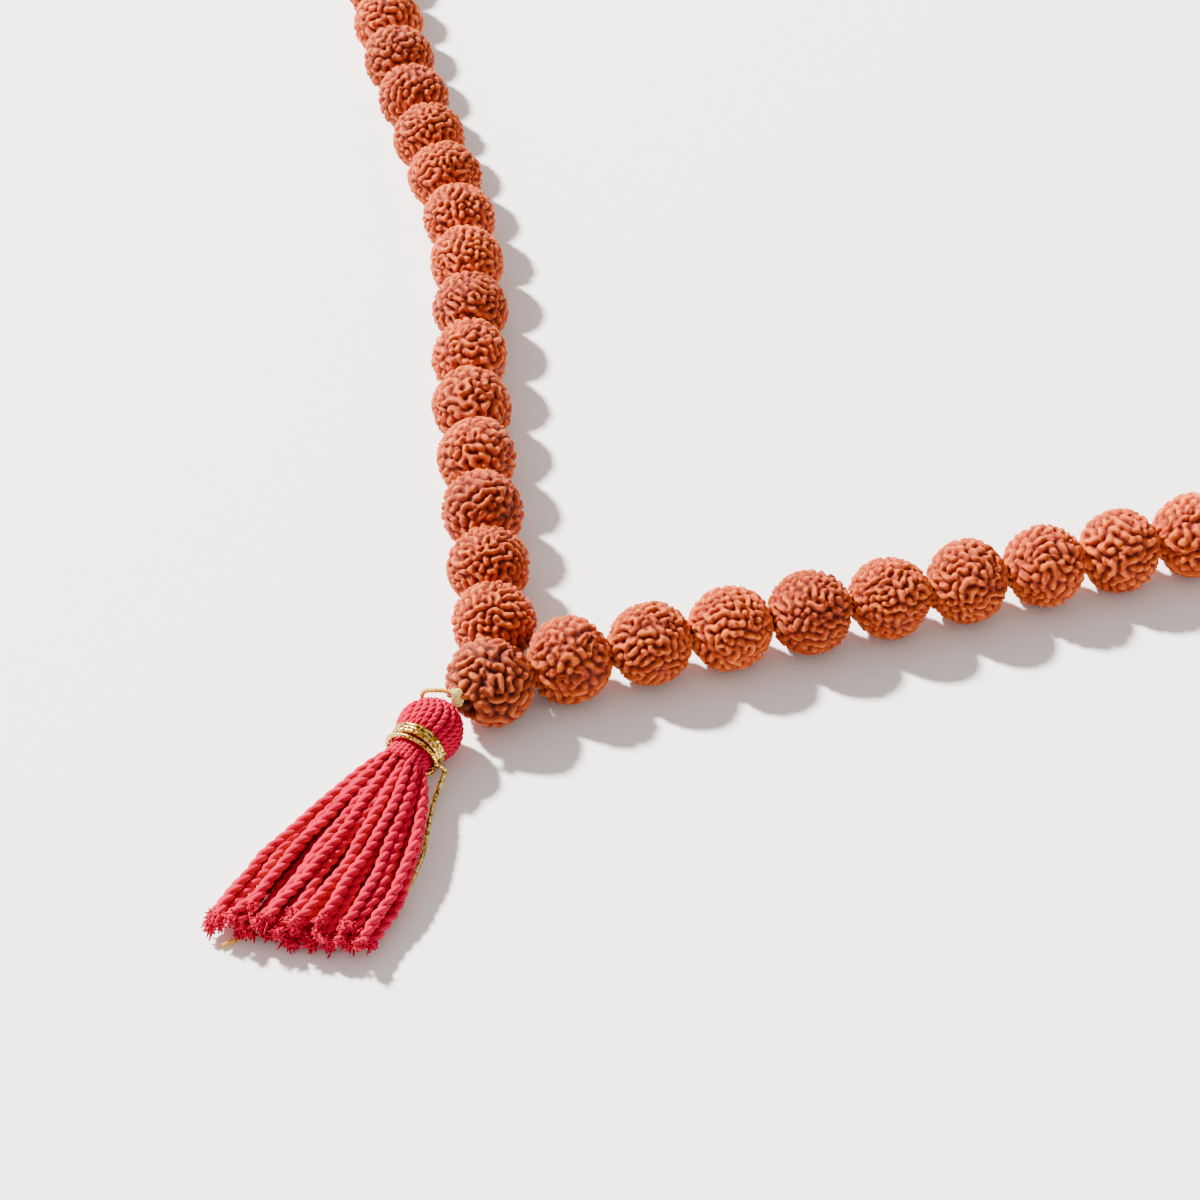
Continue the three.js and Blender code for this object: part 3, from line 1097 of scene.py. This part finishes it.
def dress_cords() -> None:
    """Gives the CAD lengths of stringing cord their finish."""
    cord = CottonYarn("stringing_cord", "#3c120c", "#6b2a1c", "#8f4a30", 6.0).build()
    for name in ("guru", "left_near", "left_far", "right_near", "right_far"):
        piece = bpy.data.objects[f"cord_{name}"]
        for index in range(len(piece.material_slots)):
            piece.material_slots[index].material = cord


@dataclass
class Studio:
    """Pale floor, one soft key light from behind on the left, and a bright surround.

    Fields:
        place: Where the camera stands, in millimetres.
        elevation: How far the camera looks down, in degrees.
        focal, sensor: Its lens and the width of its sensor, in millimetres.
        floor_size: Side of the floor, in metres.
        key_place, key_size, key_power, key_colour: The key light, in metres and watts.
        surround, surround_strength: Colour and strength of the light from all round.
    """

    place: tuple[float, float, float] = (10.32, -196.33, 206.34)
    elevation: float = 44.26
    focal: float = 90.0
    sensor: float = 36.0
    floor_size: float = 6.0
    key_place: tuple[float, float, float] = (-1.65, 1.41, 1.98)
    key_size: float = 0.27
    key_power: float = 500
    key_colour: tuple[float, float, float] = (1.0, 0.97, 0.93)
    surround: tuple[float, float, float, float] = (1.0, 0.95, 0.92, 1)
    surround_strength: float = 0.76

    def floor(self) -> None:
        """Lays a plain pale floor."""
        deselect()
        bpy.ops.mesh.primitive_plane_add(size=self.floor_size, location=(0, 0, 0))
        plane = bpy.context.object
        plane.name = "floor"
        coat = Coat("pale_floor")
        coat.fix(Base_Color=linear("#fcfbf9"), Roughness=0.9, Specular_IOR_Level=0.2)
        plane.data.materials.append(coat.material)

    def light(self) -> None:
        """Hangs the key light and sets the surround."""
        bpy.ops.object.light_add(type="AREA", location=self.key_place)
        key = bpy.context.object
        key.data.shape = "DISK"
        key.data.size = self.key_size
        key.data.energy = self.key_power
        key.data.color = self.key_colour
        key.rotation_euler = (Vector((0, 0, 0)) - key.location).to_track_quat("-Z", "Y").to_euler()
        world = bpy.data.worlds.new("surround")
        bpy.context.scene.world = world
        world.use_nodes = True
        background = world.node_tree.nodes["Background"]
        background.inputs["Color"].default_value = self.surround
        background.inputs["Strength"].default_value = self.surround_strength

    def camera(self) -> None:
        """Sets the camera in front of the tassel and above it, looking along +Y."""
        bpy.ops.object.camera_add()
        camera = bpy.context.object
        camera.data.lens = self.focal
        camera.data.sensor_width = self.sensor
        camera.data.clip_start = 0.01
        tilt = math.radians(self.elevation)
        camera.location = Vector(self.place) * MM
        camera.rotation_euler = (math.pi / 2 - tilt, 0, 0)
        bpy.context.scene.camera = camera

    def build(self) -> None:
        """Builds the studio."""
        self.camera()
        self.light()
        self.floor()


def main() -> None:
    """Builds the mala and its studio."""
    logging.basicConfig(level=logging.INFO, format="%(name)s: %(message)s")
    Studio().build()
    Tassel().build()
    Seeds().build()
    dress_cords()


if __name__ == "__main__":
    main()
